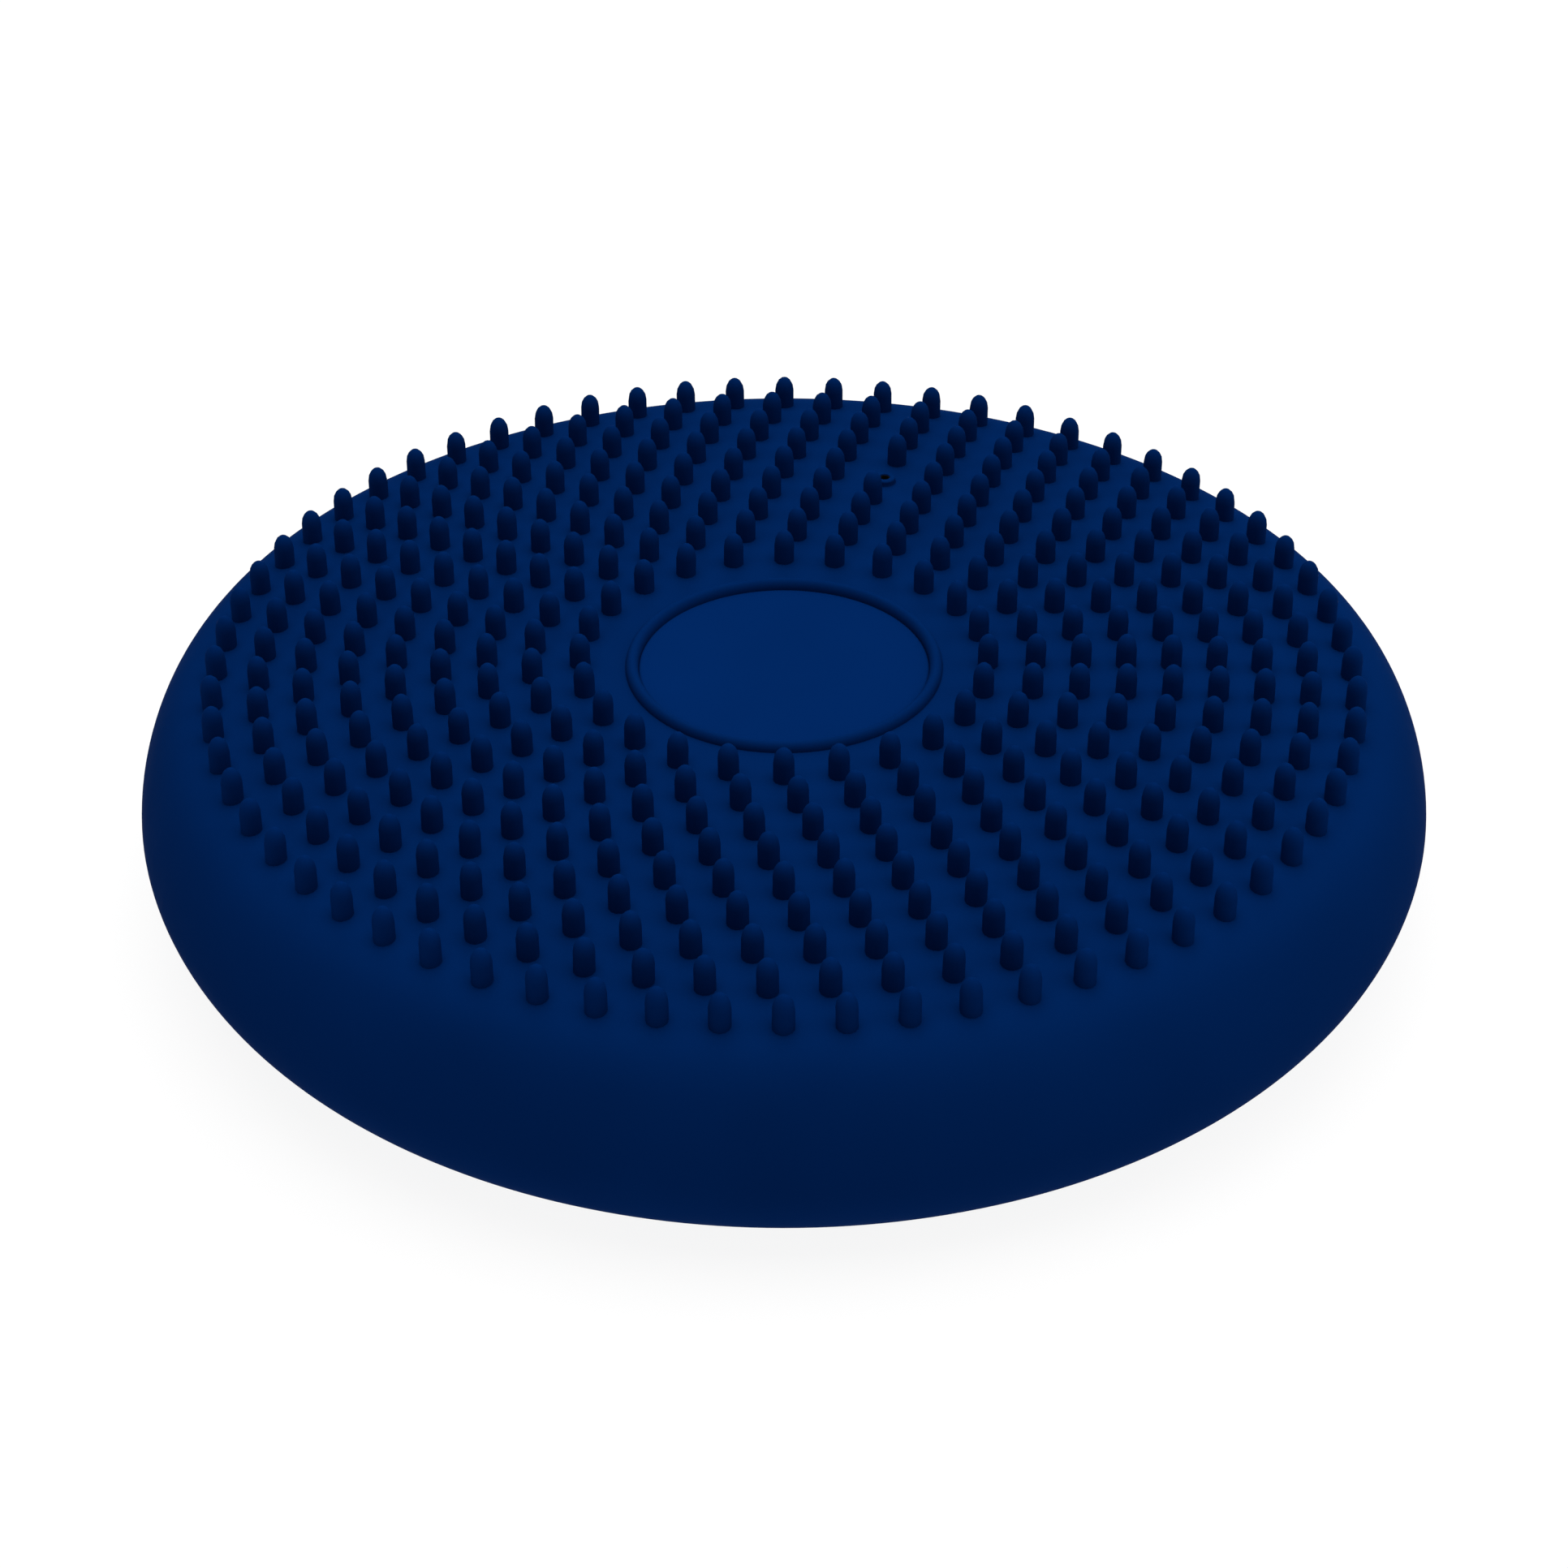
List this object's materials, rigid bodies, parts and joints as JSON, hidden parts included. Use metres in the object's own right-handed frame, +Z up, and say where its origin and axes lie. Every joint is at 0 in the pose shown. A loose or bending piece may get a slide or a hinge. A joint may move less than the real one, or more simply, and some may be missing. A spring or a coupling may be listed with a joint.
{
  "type": "wobble cushion",
  "caption": "Round air-filled balance cushion of soft moulded vinyl, with rings of massage nubs on top, a smooth centre and a needle valve.",
  "frame": {"origin": "centre of the flat pad the cushion rests on, at the floor", "axes": "+Z up out of the nubbed face, -Y to the front, +X to the right; the valve is at the back right"},
  "size_m": [0.33, 0.33, 0.0704],
  "materials": {
    "vinyl_skin": "matt soft PVC, satin where it is smooth",
    "vinyl_nubs": "matt soft PVC",
    "valve_vinyl": "matt soft PVC",
    "valve_rubber": "matt black rubber"
  },
  "bodies": {
    "base": {"rest_pad": "vinyl_skin", "underside_panel": "vinyl_skin", "underside_pip_ring_1": "vinyl_skin", "underside_pip_ring_2": "vinyl_skin", "underside_pip_ring_3": "vinyl_skin", "underside_pip_ring_4": "vinyl_skin", "underside_pip_ring_5": "vinyl_skin", "underside_pip_ring_6": "vinyl_skin", "underside_pip_ring_7": "vinyl_skin", "side_wall_lower": "vinyl_skin"},
    "waist": {"side_wall_middle": "vinyl_skin"},
    "shoulder": {"side_wall_upper": "vinyl_skin"},
    "top": {"top_panel": "vinyl_skin", "centre_disc": "vinyl_skin", "centre_bead": "vinyl_skin", "valve_housing": "valve_vinyl", "valve_core": "valve_rubber", "nub_ring_1": "vinyl_nubs", "nub_ring_2": "vinyl_nubs", "nub_ring_3": "vinyl_nubs", "nub_ring_4": "vinyl_nubs", "nub_ring_5": "vinyl_nubs", "nub_ring_6": "vinyl_nubs", "nub_ring_7": "vinyl_nubs", "nub_ring_8": "vinyl_nubs", "nub_ring_9": "vinyl_nubs"}
  },
  "joints": [
    {"name": "press_down", "type": "slide", "parent": "base", "child": "waist", "axis": [0, 0, 1], "range_m": [-0.009, 0], "stiffness_N_per_m": 50000, "deforming": ["side_wall_lower"]},
    {"name": "tilt_left_right", "type": "hinge", "parent": "waist", "child": "shoulder", "pos_m": [0, 0, 0.0262], "axis": [0, 1, 0], "range_deg": [-5, 5], "stiffness_Nm_per_rad": 250, "deforming": ["side_wall_middle"]},
    {"name": "tilt_front_back", "type": "hinge", "parent": "shoulder", "child": "top", "pos_m": [0, 0, 0.0469], "axis": [1, 0, 0], "range_deg": [-5, 5], "stiffness_Nm_per_rad": 250, "deforming": ["side_wall_upper"]}
  ]
}
